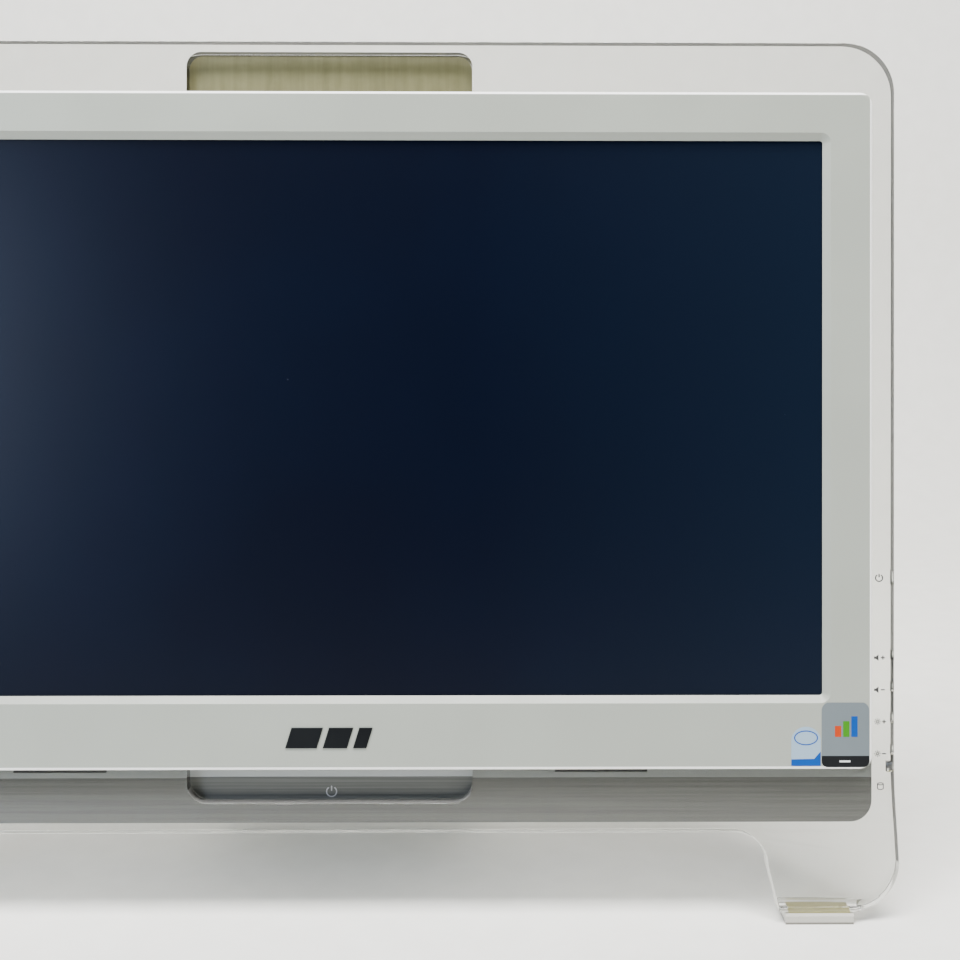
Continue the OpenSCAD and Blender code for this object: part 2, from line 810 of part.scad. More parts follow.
// Plate that stands up behind the upper notch, screwed to the top of the cover, and backs the grip.
module carry_tab() {
    color([0.92, 0.93, 0.92]) place() {
        slab([-58, 58], [cover_z1, 359.6], [tab_y0, tab_y0 + 4], 4.5);
        slab([-58, 58], [cover_z1, cover_z1 + 5], [tab_y0, tab_y0 + 4]);
        slab([-58, 58], [cover_z1, cover_z1 + 2], [tab_y0, 22]);
    }
}

module rear_vents() {
    for (i = [0:25]) slab([-168 + 7 * i, -165 + 7 * i], [300, 326], [28, cover_y1 + 1]);
    for (i = [0:11]) slab([-190 + 7 * i, -187 + 7 * i], [62, 84], [28, cover_y1 + 1]);
}

// Cover over the memory.
module service_door() {
    color([0.92, 0.93, 0.92]) place() difference() {
        slab([70, 150], [door_z - 25, door_z + 25], [cover_y1 - 2.4, cover_y1 - 0.2], 2.2);
        for (x = door_screw_x) rod_y(x, door_z, [cover_y1 - 5, cover_y1 + 1], 1.6);
    }
}

module vesa_inserts() {
    color([0.78, 0.64, 0.32]) place() for (x = [-50, 50], z = [vesa_z - 50, vesa_z + 50]) {
        difference() {
            rod_y(x, z, [cover_y1 - 8.9, cover_y1 - 0.6], insert_r, $fn = 6);
            rod_y(x, z, [cover_y1 - 8.6, cover_y1], 2);
        }
    }
}

module port_plate() {
    color([0.7, 0.71, 0.72]) place() difference() {
        slab([port_x[0] + 0.3, port_x[1] - 0.3], [56.9, 89.7], [port_plate_y, port_plate_y + 0.8],
            2.7);
        for (x = usb_x) port_cut([x - 3.7, x + 3.7], [port_z0, port_z0 + 16]);
        port_cut([148, 164.4], [port_z0, port_z0 + 15]);
        port_cut([168, 203], [port_z0, port_z0 + 14]);
        port_cut([85.5, 98.5], [port_z0, port_z0 + 13]);
    }
}

module port_cut(x, z) {
    slab([x[0] - 0.1, x[1] + 0.1], [z[0] - 0.1, z[1] + 0.1], [port_plate_y - 1, port_plate_y + 2]);
}

module usb_ports() {
    color([0.75, 0.76, 0.77]) place() for (x = usb_x) difference() {
        slab([x - 3.7, x + 3.7], [port_z0, port_z0 + 16], [board_y1, port_y1]);
        slab([x - 2.7, x + 2.7], [port_z0 + 1.5, port_z0 + 14.5], [port_y1 - 12, port_y1 + 1]);
    }
}

module lan_port() {
    color([0.75, 0.76, 0.77]) place() difference() {
        slab([148, 164.4], [port_z0, port_z0 + 15], [board_y1, port_y1]);
        slab([150.2, 162.2], [port_z0 + 3, port_z0 + 11.4], [port_y1 - 12, port_y1 + 1]);
        slab([153.2, 159.2], [port_z0 + 11, port_z0 + 13.4], [port_y1 - 12, port_y1 + 1]);
    }
}

module audio_jacks() {
    color([0.2, 0.2, 0.21]) place() for (x = [174, 185.5, 197]) difference() {
        slab([x - 5.7, x + 5.7], [port_z0, port_z0 + 14], [board_y1, port_y1]);
        rod_y(x, port_z0 + 7, [port_y1 - 14, port_y1 + 1], 1.85);
    }
}

module dc_inlet() {
    color([0.12, 0.12, 0.13]) place() difference() {
        slab([85.5, 98.5], [port_z0, port_z0 + 13], [board_y1, port_y1]);
        rod_y(92, port_z0 + 6.5, [port_y1 - 10, port_y1 + 1], 2.85);
    }
}

// --- Stand ---

module at_hinge() {
    place() translate([0, hinge_y, hinge_z]) rotate([stand_open, 0, 0]) children();
}

module hinge_brackets() {
    color([0.55, 0.56, 0.58]) place() for (x = bracket_x) difference() {
        union() {
            slab([x - 7, x + 7], [hinge_z + 4.6, hinge_z + 13], [recess_y, recess_y + 1.5]);
            rod_x([x - 5, x + 5], hinge_y, hinge_z, knuckle_r);
            slab([x - 5, x + 5], [hinge_z, hinge_z + 12], [recess_y, recess_y + 5]);
        }
        rod_x([x - 8, x + 8], hinge_y, hinge_z, pin_r);
    }
}

module hinge_pin() {
    color([0.6, 0.6, 0.62]) place() rod_x([-58, 58], hinge_y, hinge_z, pin_r);
}

module stand() {
    half = stand_w / 2;
    gap = 5.4;
    color([0.9, 0.91, 0.9]) at_hinge() difference() {
        union() {
            rod_x([2 - half, half - 2], 0, 0, knuckle_r);
            translate([-half, stand_t / 2, 0]) rotate([90, 0, 0]) linear_extrude(stand_t)
                polygon([
                    [2, -2], [stand_w - 2, -2], [stand_w, 6 - stand_len],
                    [stand_w - 6, -stand_len], [6, -stand_len], [0, 6 - stand_len],
                ]);
            for (x = [-22, 22]) translate([x - 1.5, stand_t / 2 - 0.1, 14 - stand_len])
                cube([3, 1, stand_len - 30]);
        }
        rod_x([-half, half], 0, 0, pin_r + pin_gap);
        for (x = bracket_x) {
            translate([x - gap, -6, -10]) cube([2 * gap, 12, 20]);
        }
        rod_x([-half - 1, half + 1], 0, -stand_len, stand_pad_r - 1.8);
    }
}

module stand_pad() {
    half = stand_w / 2 - 7;
    color([0.2, 0.2, 0.21]) at_hinge() difference() {
        rod_x([-half, half], 0, -stand_len, stand_pad_r);
        translate([-half - 1, -stand_t / 2, -stand_len]) cube([2 * half + 2, stand_t, 20]);
    }
}

// --- Side buttons and light ---

module side_button(z, h) {
    color([0.92, 0.93, 0.92]) place() {
        slab([half_w - button_depth, half_w + button_proud], [z - h / 2 + 0.25, z + h / 2 - 0.25],
            [button_y0 + 0.25, button_y1 - 0.25]);
    }
}

module power_button() side_button(power_z, 6.4);

module volume_buttons_up() side_button(button_z(0), 4.4);

module volume_buttons_down() side_button(button_z(1), 4.4);

module brightness_button_up() side_button(button_z(2), 4.4);

module brightness_button_down() side_button(button_z(3), 4.4);

module status_light() {
    color([0.25, 0.25, 0.25]) place()
        slab([half_w - 2.6, half_w - 0.2], light_z, [button_y0, button_y1]);
}

clear_frame();
front_bezel();
brushed_strip();
speaker_channel();
speaker_grilles();
middle_frame();
lcd_rim();
lcd_cell();
light_guide();
backlight_lamps();
lcd_back_plate();
chassis_plate();
screws();
mainboard();
board_standoffs();
board_components();
heat_spreader();
heat_pipe();
cooling_fins();
blower_case();
blower_rotor();
memory_socket();
memory_module();
coin_cell();
wireless_card();
hard_drive();
drive_cage();
optical_drive_shell();
disc_tray();
tray_bezel();
disc_hub();
laser_pickup();
eject_button();
inverter_board();
speaker_boxes();
internal_leads();
cover_band();
rear_cover();
stand_bay();
carry_tab();
service_door();
vesa_inserts();
port_plate();
usb_ports();
lan_port();
audio_jacks();
dc_inlet();
hinge_brackets();
hinge_pin();
stand();
stand_pad();
carry_grip();
foot_bars();
foot_adhesive();
power_button();
volume_buttons_up();
volume_buttons_down();
brightness_button_up();
brightness_button_down();
status_light();
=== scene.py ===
import json
import math

import bmesh
import bpy
from mathutils import Matrix, Vector

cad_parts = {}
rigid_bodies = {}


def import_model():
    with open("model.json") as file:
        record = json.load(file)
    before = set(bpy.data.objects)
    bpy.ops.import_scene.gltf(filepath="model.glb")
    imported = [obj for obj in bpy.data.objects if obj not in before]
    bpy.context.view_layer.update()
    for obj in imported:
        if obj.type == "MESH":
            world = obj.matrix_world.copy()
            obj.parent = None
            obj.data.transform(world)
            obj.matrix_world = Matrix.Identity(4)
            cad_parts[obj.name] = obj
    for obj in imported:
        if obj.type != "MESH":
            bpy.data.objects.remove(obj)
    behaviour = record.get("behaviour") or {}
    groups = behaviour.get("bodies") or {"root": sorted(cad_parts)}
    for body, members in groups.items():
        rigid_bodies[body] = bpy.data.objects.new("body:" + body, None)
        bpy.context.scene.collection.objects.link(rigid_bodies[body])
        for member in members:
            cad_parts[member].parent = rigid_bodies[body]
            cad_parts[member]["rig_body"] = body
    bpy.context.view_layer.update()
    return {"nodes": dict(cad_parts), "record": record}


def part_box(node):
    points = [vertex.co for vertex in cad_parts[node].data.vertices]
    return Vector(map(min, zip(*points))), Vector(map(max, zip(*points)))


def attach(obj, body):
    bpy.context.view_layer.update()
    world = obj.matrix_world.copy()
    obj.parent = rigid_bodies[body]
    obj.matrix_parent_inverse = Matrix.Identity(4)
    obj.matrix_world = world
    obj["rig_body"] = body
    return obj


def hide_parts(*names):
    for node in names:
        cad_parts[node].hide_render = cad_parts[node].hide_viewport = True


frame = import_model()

# ---------------------------------------------------------------- sizes (mm, display frame)
# The display frame has X to the right, Y to the back and Z up along the face. Y = 0 is the back
# of the clear frame. DISPLAY takes it to the world: it leans back about the line of the feet.
MM = 0.001

# Clear frame: outer edge, thickness and rounded rim, legs, window with its notches.
HALF_W, TOP, CORNER_R = 235.5, 366.4, 21.0
PLATE_T, EDGE_R = 8.0, 0.4
LEG_GAP_Z, LEG_GAP_R, LEG_IN_X, LEG_R, LEG_FLARE = 37.0, 14.0, 182.8, 20.0, 2.2
WINDOW_X, WINDOW_Z0, WINDOW_Z1 = 218.0, 79.8, 339.6
NOTCH_X, NOTCH_TOP, NOTCH_BOTTOM = 59.4, 361.8, 49.4
NOTCH_HIGH_R, NOTCH_LOW_R = 6.0, 8.0

# Feet: front and back of the bars. Each leg is cut off level at SOLE_Z and stands on a sole, whose
# underside lies SOLE_LIFT above the cut and whose front and back lie SOLE_INSET within the bar's.
FOOT_FRONT, FOOT_BACK = -8.5, 4.5
SOLE_X, SOLE_HALF_W, SOLE_Z, SOLE_T = 204.5, 17.3, 5.1, 2.1
SOLE_LIFT, SOLE_INSET, SOLE_CORNER_R, SOLE_EDGE_R = 0.02, 0.7, 0.8, 0.6

# Front of the bezel: its plane, half width, middle height and half height.
BEZEL_Y = -12.0
BEZEL_X, BEZEL_Z, BEZEL_HALF_H = 225.4, 204.4, 140.4

# Side buttons: name, middle height and half height. A cap reaches CAP_IN into the right edge and
# CAP_OUT out of it, and its pocket is wider by POCKET_GAP. The indicator has a deeper pocket.
BUTTONS = (("power_button", 143.3, 2.9), ("volume_buttons_up", 110.8, 1.9),
           ("volume_buttons_down", 97.6, 1.9), ("brightness_button_up", 84.4, 1.9),
           ("brightness_button_down", 71.2, 1.9))
CAP_FRONT, CAP_BACK, CAP_IN, CAP_OUT, CAP_CORNER_R, CAP_EDGE_R = -5.4, -2.6, 0.4, 0.5, 0.4, 0.15
POCKET_FRONT, POCKET_BACK, POCKET_GAP, POCKET_DEEP = -5.6, -2.4, 0.2, 0.75
LIGHT_Z0, LIGHT_Z1, LIGHT_DEEP = 61.8, 66.2, 2.6

# Printed strokes: widths, thickness, and the plane of those on the clear frame.
STROKE, FINE_STROKE = 0.5, 0.36
INK_T = 0.02
INK_Y = -PLATE_T - 0.03

# The wall fixings point straight back from the face, so their axis gives the lean.
wall_axis = next(m for m in frame["record"]["mounts"] if m["name"] == "wall_fixing_upper_left")["axis"]
LEAN = math.asin(-wall_axis[2])
desk_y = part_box("foot_bars")[0][1] - FOOT_FRONT * MM
UPRIGHT = Matrix.Translation((0, desk_y, 0))
DISPLAY = UPRIGHT @ Matrix.Rotation(-LEAN, 4, "X")


def at(x, y, z):
    """World point of a display-frame point."""
    return DISPLAY @ Vector((x * MM, y * MM, z * MM))


# ---------------------------------------------------------------- mesh helpers

SHARP_ANGLE = math.radians(35)        # edges that turn more than this are not smoothed


def add_object(name, data):
    """New object in the scene."""
    new = bpy.data.objects.new(name, data)
    bpy.context.scene.collection.objects.link(new)
    return new


def finish_object(name, mesh, material, body="unit"):
    """Makes a piece from a mesh in world metres, shades it and lets it ride on its body."""
    piece = add_object(name, mesh)
    mesh.materials.append(material)
    for polygon in mesh.polygons:
        polygon.use_smooth = True
    mesh.set_sharp_from_angle(angle=SHARP_ANGLE)
    if body:
        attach(piece, body)
    return piece


def mesh_from(build, transform=None):
    """Runs build(bm) on an empty bmesh and returns a clean mesh in metres."""
    bm = bmesh.new()
    build(bm)
    bmesh.ops.remove_doubles(bm, verts=bm.verts, dist=1e-7)
    bmesh.ops.recalc_face_normals(bm, faces=bm.faces)
    if transform:
        bm.transform(transform)
    mesh = bpy.data.meshes.new("mesh")
    bm.to_mesh(mesh)
    bm.free()
    return mesh


def arc(cx, cz, r, start, end, count=10):
    """Points of an arc in the XZ plane with both its ends, angles in degrees."""
    steps = [math.radians(start + (end - start) * i / count) for i in range(count + 1)]
    return [(cx + r * math.cos(a), cz + r * math.sin(a)) for a in steps]


def oval(cx, cz, rx, rz, start=0, end=360, count=32):
    """Points of an elliptic arc in the XZ plane without its last one, angles in degrees."""
    steps = [math.radians(start + (end - start) * i / count) for i in range(count)]
    return [(cx + rx * math.cos(a), cz + rz * math.sin(a)) for a in steps]


def rounded(x0, x1, z0, z1, r, count):
    """Corner points of a rounded rectangle, anticlockwise."""
    return (arc(x1 - r, z0 + r, r, -90, 0, count) + arc(x1 - r, z1 - r, r, 0, 90, count)
            + arc(x0 + r, z1 - r, r, 90, 180, count) + arc(x0 + r, z0 + r, r, 180, 270, count))


def plate_mesh(loops, y0, y1, edge, steps, transform=DISPLAY):
    """Solid plate between y0 and y1 from closed XZ outlines, with rounded rims of radius edge."""
    curve = bpy.data.curves.new("outline", "CURVE")
    curve.dimensions = "2D"
    curve.fill_mode = "BOTH"
    curve.extrude = ((y1 - y0) / 2 - edge) * MM
    curve.bevel_depth = edge * MM
    curve.bevel_resolution = steps
    curve.offset = -edge * MM
    for loop in loops:
        spline = curve.splines.new("POLY")
        spline.points.add(len(loop) - 1)
        spline.use_cyclic_u = True
        for point, (x, z) in zip(spline.points, loop):
            point.co = (x * MM, z * MM, 0, 1)
    holder = add_object("outline", curve)
    depsgraph = bpy.context.evaluated_depsgraph_get()
    mesh = bpy.data.meshes.new_from_object(holder.evaluated_get(depsgraph))
    bpy.data.objects.remove(holder)
    bpy.data.curves.remove(curve)
    bm = bmesh.new()
    bm.from_mesh(mesh)
    bmesh.ops.remove_doubles(bm, verts=bm.verts, dist=2e-6)
    bmesh.ops.recalc_face_normals(bm, faces=bm.faces)
    # The outline lies in the curve's XY plane: stand it up and centre it between y0 and y1.
    stand_up = Matrix.Translation((0, (y0 + y1) / 2 * MM, 0)) @ Matrix.Rotation(math.pi / 2, 4, "X")
    bm.transform(transform @ stand_up)
    bm.to_mesh(mesh)
    bm.free()
    return mesh


def box_object(low, high, transform):
    """Plain box used only as a cutter: boolean() deletes it."""
    bm = bmesh.new()
    bmesh.ops.create_cube(bm, size=1)
    size = Vector(high) - Vector(low)
    middle = (Vector(high) + Vector(low)) / 2
    bm.transform(transform @ Matrix.Translation(middle * MM) @ Matrix.Diagonal((*(size * MM), 1)))
    mesh = bpy.data.meshes.new("cutter")
    bm.to_mesh(mesh)
    bm.free()
    return add_object("cutter", mesh)


def boolean(piece, others, operation):
    """Applies one boolean step with each of the other objects and deletes them."""
    for other in others:
        step = piece.modifiers.new("step", "BOOLEAN")
        step.operation = operation
        step.solver = "EXACT"
        step.object = other
    depsgraph = bpy.context.evaluated_depsgraph_get()
    result = bpy.data.meshes.new_from_object(piece.evaluated_get(depsgraph))
    piece.modifiers.clear()
    piece.data = result
    for other in others:
        bpy.data.objects.remove(other)


# ---------------------------------------------------------------- materials

def new_material(name):
    """New material with its node tree and its main shader."""
    material = bpy.data.materials.new(name)
    material.use_nodes = True
    tree = material.node_tree
    return material, tree, tree.nodes["Principled BSDF"]


def feed(tree, slot, value):
    """Links a socket to the slot, or sets the slot to a plain number or colour."""
    if isinstance(value, bpy.types.NodeSocket):
        tree.links.new(value, slot)
    else:
        slot.default_value = value


def coordinates(tree, scale=(1, 1, 1)):
    """Object coordinates in metres, stretched by scale."""
    source = tree.nodes.new("ShaderNodeTexCoord")
    mapping = tree.nodes.new("ShaderNodeMapping")
    mapping.inputs["Scale"].default_value = scale
    tree.links.new(source.outputs["Object"], mapping.inputs["Vector"])
    return mapping.outputs["Vector"]


def axes(tree, vector):
    """X, Y and Z of a vector as sockets."""
    split = tree.nodes.new("ShaderNodeSeparateXYZ")
    tree.links.new(vector, split.inputs["Vector"])
    return split.outputs


def noise(tree, vector, scale, detail, roughness=0.5):
    """Soft noise from 0 to 1; scale is in waves per metre of the vector."""
    node = tree.nodes.new("ShaderNodeTexNoise")
    node.inputs["Scale"].default_value = scale
    node.inputs["Detail"].default_value = detail
    node.inputs["Roughness"].default_value = roughness
    tree.links.new(vector, node.inputs["Vector"])
    return node.outputs["Fac"]


def remap(tree, value, low, high, from_low=0.0, from_high=1.0):
    """Takes the range from_low to from_high to low to high, clamped."""
    node = tree.nodes.new("ShaderNodeMapRange")
    node.inputs["From Min"].default_value = from_low
    node.inputs["From Max"].default_value = from_high
    node.inputs["To Min"].default_value = low
    node.inputs["To Max"].default_value = high
    tree.links.new(value, node.inputs["Value"])
    return node.outputs["Result"]


def two_tone(tree, value, first, second, low=0.35, high=0.65):
    """Colour ramp from the first colour at low to the second one at high."""
    ramp = tree.nodes.new("ShaderNodeValToRGB")
    ramp.color_ramp.elements[0].position = low
    ramp.color_ramp.elements[0].color = (*first, 1)
    ramp.color_ramp.elements[1].position = high
    ramp.color_ramp.elements[1].color = (*second, 1)
    tree.links.new(value, ramp.inputs["Fac"])
    return ramp.outputs["Color"]


def blend(tree, factor, first, second, mode="MIX"):
    """Mixes two colours; each input is a socket or a plain value."""
    mix = tree.nodes.new("ShaderNodeMixRGB")
    mix.blend_type = mode
    feed(tree, mix.inputs["Fac"], factor)
    feed(tree, mix.inputs["Color1"], first)
    feed(tree, mix.inputs["Color2"], second)
    return mix.outputs["Color"]


def calculate(tree, operation, first, *second):
    """Math node on one or two values, each a socket or a plain number."""
    node = tree.nodes.new("ShaderNodeMath")
    node.operation = operation
    for slot, value in zip(node.inputs, (first, *second)):
        feed(tree, slot, value)
    return node.outputs["Value"]


def bump(tree, shader, value, strength, distance):
    """Bumps the shader's surface by the value; distance in mm."""
    node = tree.nodes.new("ShaderNodeBump")
    node.inputs["Strength"].default_value = strength
    node.inputs["Distance"].default_value = distance * MM
    tree.links.new(value, node.inputs["Height"])
    tree.links.new(node.outputs["Normal"], shader.inputs["Normal"])


def shade(color, factor):
    """Lighter or darker tone of a colour."""
    return tuple(min(1.0, c * factor) for c in color)


def solid(name, color, rough, metallic=0.0, grain=900.0, grain_depth=0.02, mottle=0.06,
          stretch=(1, 1, 1), coat=0.0):
    """Opaque finish: faint mottling, uneven gloss and a fine grain of so many waves per metre."""
    material, tree, shader = new_material(name)
    vector = coordinates(tree, stretch)
    broad = noise(tree, vector, 22, 4)
    fine = noise(tree, vector, grain, 2)
    color_out = two_tone(tree, broad, shade(color, 1 - mottle), shade(color, 1 + mottle))
    tree.links.new(color_out, shader.inputs["Base Color"])
    tree.links.new(remap(tree, broad, rough - 0.05, rough + 0.05, 0.3, 0.7),
                   shader.inputs["Roughness"])
    bump(tree, shader, fine, 0.35, grain_depth)
    shader.inputs["Metallic"].default_value = metallic
    shader.inputs["Coat Weight"].default_value = coat
    shader.inputs["Coat Roughness"].default_value = 0.12
    return material


def film(name, color, rough, grain=900.0, mottle=0.06):
    """Printed film with little gloss."""
    material = solid(name, color, rough, grain=grain, mottle=mottle)
    material.node_tree.nodes["Principled BSDF"].inputs["Specular IOR Level"].default_value = 0.15
    return material


def clear_plastic(name, tint, rough, haze_scale=260.0):
    """Clear acrylic with a faint haze and a hardly visible waviness of its surface."""
    material, tree, shader = new_material(name)
    vector = coordinates(tree)
    haze = noise(tree, vector, haze_scale, 5)
    shader.inputs["Transmission Weight"].default_value = 1.0
    shader.inputs["IOR"].default_value = 1.49
    tree.links.new(two_tone(tree, haze, shade(tint, 0.985), tint), shader.inputs["Base Color"])
    tree.links.new(remap(tree, haze, rough, rough + 0.02, 0.45, 0.8), shader.inputs["Roughness"])
    bump(tree, shader, noise(tree, vector, 60, 2), 0.02, 0.05)
    return material


def painted_edge_plastic(name, tint, through):
    """Acrylic for the rim walls whose tint is painted light and shade, dark or pale as given; it
    passes less light than the polished faces and has no specular gloss.
    """
    material = clear_plastic(name, tint, 0.02, 700)
    shader = material.node_tree.nodes["Principled BSDF"]
    shader.inputs["Transmission Weight"].default_value = through
    shader.inputs["Specular IOR Level"].default_value = 0.0
    return material


def overlay(material, factor, color):
    """Lays one more colour over the material's own, as far as factor says."""
    tree = material.node_tree
    base = tree.nodes["Principled BSDF"].inputs["Base Color"]
    tree.links.new(blend(tree, factor, base.links[0].from_socket, color), base)


def painted_rim_highlight(material):
    """Painted highlight: lightens the outermost millimetre of the bezel, where its rounded lip catches
    the light.
    """
    tree = material.node_tree
    source = tree.nodes.new("ShaderNodeTexCoord")
    mapping = tree.nodes.new("ShaderNodeMapping")
    mapping.vector_type = "TEXTURE"
    mapping.inputs["Location"].default_value = (0, desk_y, 0)
    mapping.inputs["Rotation"].default_value = (-LEAN, 0, 0)
    tree.links.new(source.outputs["Object"], mapping.inputs["Vector"])
    place = axes(tree, mapping.outputs["Vector"])
    fade_from, fade_to = 1.35, 1.1        # mm in from the bezel's edge
    sides = []
    for axis, middle, reach in (("X", 0, BEZEL_X), ("Z", BEZEL_Z, BEZEL_HALF_H)):
        offset = calculate(tree, "ABSOLUTE", calculate(tree, "SUBTRACT", place[axis], middle * MM))
        sides.append(remap(tree, offset, 0, 1, (reach - fade_from) * MM, (reach - fade_to) * MM))
    overlay(material, calculate(tree, "MAXIMUM", *sides), (1, 1, 0.98, 1))
    return material


def painted_contact_shadow(material, height):
    """Painted contact shadow: darkens the lowest part of a piece that stands on the desk."""
    tree = material.node_tree
    source = tree.nodes.new("ShaderNodeTexCoord")
    up = axes(tree, source.outputs["Object"])["Z"]
    low = remap(tree, up, 1, 0, height * MM, 1.6 * height * MM)
    overlay(material, low, (0.16, 0.15, 0.125, 1))
    return material


def brushed(name, color):
    """Metal film brushed along X."""
    material, tree, shader = new_material(name)
    lines = noise(tree, coordinates(tree, (6, 900, 900)), 1.0, 6, 0.7)
    broad = noise(tree, coordinates(tree, (3, 12, 12)), 1.0, 2)
    streaks = two_tone(tree, lines, shade(color, 0.7), shade(color, 1.3))
    patches = two_tone(tree, broad, (0.88, 0.88, 0.88), (1, 1, 1))
    tree.links.new(blend(tree, 0.5, streaks, patches, "MULTIPLY"), shader.inputs["Base Color"])
    tree.links.new(remap(tree, lines, 0.34, 0.5, 0.3, 0.7), shader.inputs["Roughness"])
    shader.inputs["Metallic"].default_value = 0.5
    bump(tree, shader, lines, 0.25, 0.02)
    return material


def screen_material():
    """Switched-off panel: near-black blue with haze, dust and a soft gloss, made paler to the right by
    a painted sheen.
    """
    material, tree, shader = new_material("screen_off")
    vector = coordinates(tree)
    haze = noise(tree, vector, 9, 3)
    hazy = two_tone(tree, haze, (0.0001, 0.0012, 0.0064), (0.0002, 0.0018, 0.0084))
    # Painted sheen: the colour pales as X grows.
    painted_sheen_ramp = remap(tree, axes(tree, vector)["X"], 0, 1, 0.06, 0.21)
    base = blend(tree, painted_sheen_ramp, hazy, (0.0022, 0.0058, 0.0145, 1))
    specks = tree.nodes.new("ShaderNodeTexVoronoi")
    specks.inputs["Scale"].default_value = 55
    specks.inputs["Randomness"].default_value = 1
    tree.links.new(vector, specks.inputs["Vector"])
    speck_size = remap(tree, noise(tree, vector, 31, 2), -0.012, 0.05, 0.45, 0.85)
    dust = calculate(tree, "LESS_THAN", specks.outputs["Distance"], speck_size)
    tree.links.new(blend(tree, dust, base, (0.10, 0.12, 0.16, 1)), shader.inputs["Base Color"])
    grain = noise(tree, vector, 2600, 1)
    tree.links.new(remap(tree, grain, 0.28, 0.34), shader.inputs["Roughness"])
    bump(tree, shader, grain, 0.08, 0.01)
    shader.inputs["Specular IOR Level"].default_value = 0.19
    return material


def aged_grip():
    """Yellowed plastic with faint upright streaks and mottling."""
    material, tree, shader = new_material("grip_yellowed")
    streaks = noise(tree, coordinates(tree, (420, 60, 25)), 1.0, 4, 0.6)
    spots = noise(tree, coordinates(tree), 320, 4, 0.6)
    upright = two_tone(tree, streaks, (0.128, 0.120, 0.048), (0.190, 0.181, 0.080), 0.3, 0.7)
    mottled = two_tone(tree, spots, (0.158, 0.149, 0.065), (0.192, 0.183, 0.084))
    tree.links.new(blend(tree, 0.35, upright, mottled), shader.inputs["Base Color"])
    tree.links.new(remap(tree, spots, 0.35, 0.55), shader.inputs["Roughness"])
    bump(tree, shader, spots, 0.15, 0.05)
    return material


acrylic = clear_plastic("clear_acrylic", (0.845, 0.85, 0.825), 0.0)
# Painted dark reflection for the rim walls that face up and out, painted highlight for the lower walls
# by the legs.
acrylic_painted_dark = painted_edge_plastic("clear_acrylic_painted_dark", (0.16, 0.16, 0.155), 0.15)
acrylic_painted_pale = painted_edge_plastic("clear_acrylic_painted_pale", (0.93, 0.92, 0.86), 0.35)
# The foot bars carry a painted contact shadow along their bottom edge.
clear_rubber = painted_contact_shadow(solid("clear_rubber", (0.60, 0.585, 0.52), 0.14, grain=300, coat=0.7), 0.7)
clear_rubber.node_tree.nodes["Principled BSDF"].inputs["Transmission Weight"].default_value = 0.2
# The bezel's outermost millimetre carries a painted highlight.
bezel_white = painted_rim_highlight(solid("bezel_pearl", (0.305, 0.324, 0.283), 0.36, grain=2600,
                             grain_depth=0.012, mottle=0.02))
cover_white = solid("cover_white", (0.83, 0.85, 0.83), 0.22, grain=500, grain_depth=0.01,
                    mottle=0.02, coat=0.4)
strip_metal = brushed("strip_brushed", (0.130, 0.134, 0.121))
channel_grey = solid("channel_grey", (0.42, 0.44, 0.42), 0.45, grain=1500, mottle=0.04)
frame_plastic = solid("frame_plastic", (0.70, 0.71, 0.69), 0.5, grain=1500, mottle=0.04)
panel_steel = solid("panel_steel", (0.56, 0.57, 0.58), 0.35, 0.9, grain=700, mottle=0.08)
screw_steel = solid("screw_steel", (0.42, 0.42, 0.44), 0.3, 1.0, grain=1800, mottle=0.08)
brass = solid("brass_turned", (0.72, 0.55, 0.25), 0.3, 1.0, grain=2500, mottle=0.07)
board_green = solid("board_green", (0.03, 0.17, 0.08), 0.35, grain=420, grain_depth=0.05, mottle=0.2)
chip_black = solid("chip_black", (0.02, 0.02, 0.022), 0.5, grain=2400, mottle=0.2)
aluminium = solid("aluminium_milled", (0.78, 0.79, 0.80), 0.32, 1.0, grain=600, mottle=0.05,
                  stretch=(1, 1, 8))
copper = solid("copper_tube", (0.70, 0.36, 0.22), 0.28, 1.0, mottle=0.1)
black_plastic = solid("black_plastic", (0.022, 0.022, 0.024), 0.45, grain=2000, mottle=0.15)
cell_steel = solid("cell_steel", (0.72, 0.72, 0.70), 0.16, 1.0, grain=800, mottle=0.03)
lead_grey = solid("lead_grey", (0.07, 0.07, 0.08), 0.55, grain=1600, mottle=0.15)
stand_white = solid("stand_white", (0.78, 0.80, 0.78), 0.4, grain=1700, grain_depth=0.03)
rubber_black = solid("rubber_black", (0.025, 0.025, 0.025), 0.8, grain=1300, grain_depth=0.06)
adhesive_yellow = solid("adhesive_yellowed", (0.38, 0.345, 0.13), 0.5, grain=600, mottle=0.12)
button_clear = clear_plastic("button_frosted", (0.9, 0.91, 0.9), 0.25, 900)
light_dark = solid("light_smoked", (0.16, 0.155, 0.15), 0.15, coat=0.5)
light_guide = solid("light_guide", (0.88, 0.89, 0.90), 0.3, grain=800, mottle=0.02)
lamp_glass = solid("lamp_glass", (0.9, 0.9, 0.86), 0.15, grain=600, mottle=0.02, coat=0.5)
grille_dark = solid("grille_dark", (0.03, 0.03, 0.03), 0.6, grain=1500, mottle=0.1)
ink_grey = solid("ink_grey", (0.03, 0.03, 0.03), 0.6, grain=2500, mottle=0.1)
ink_pale = solid("ink_pale", (0.55, 0.55, 0.55), 0.5, grain=2500, mottle=0.05)
badge_black = film("badge_black", (0.004, 0.005, 0.006), 0.3, 1200, 0.1)

screen_off = screen_material()
grip_yellowed = aged_grip()

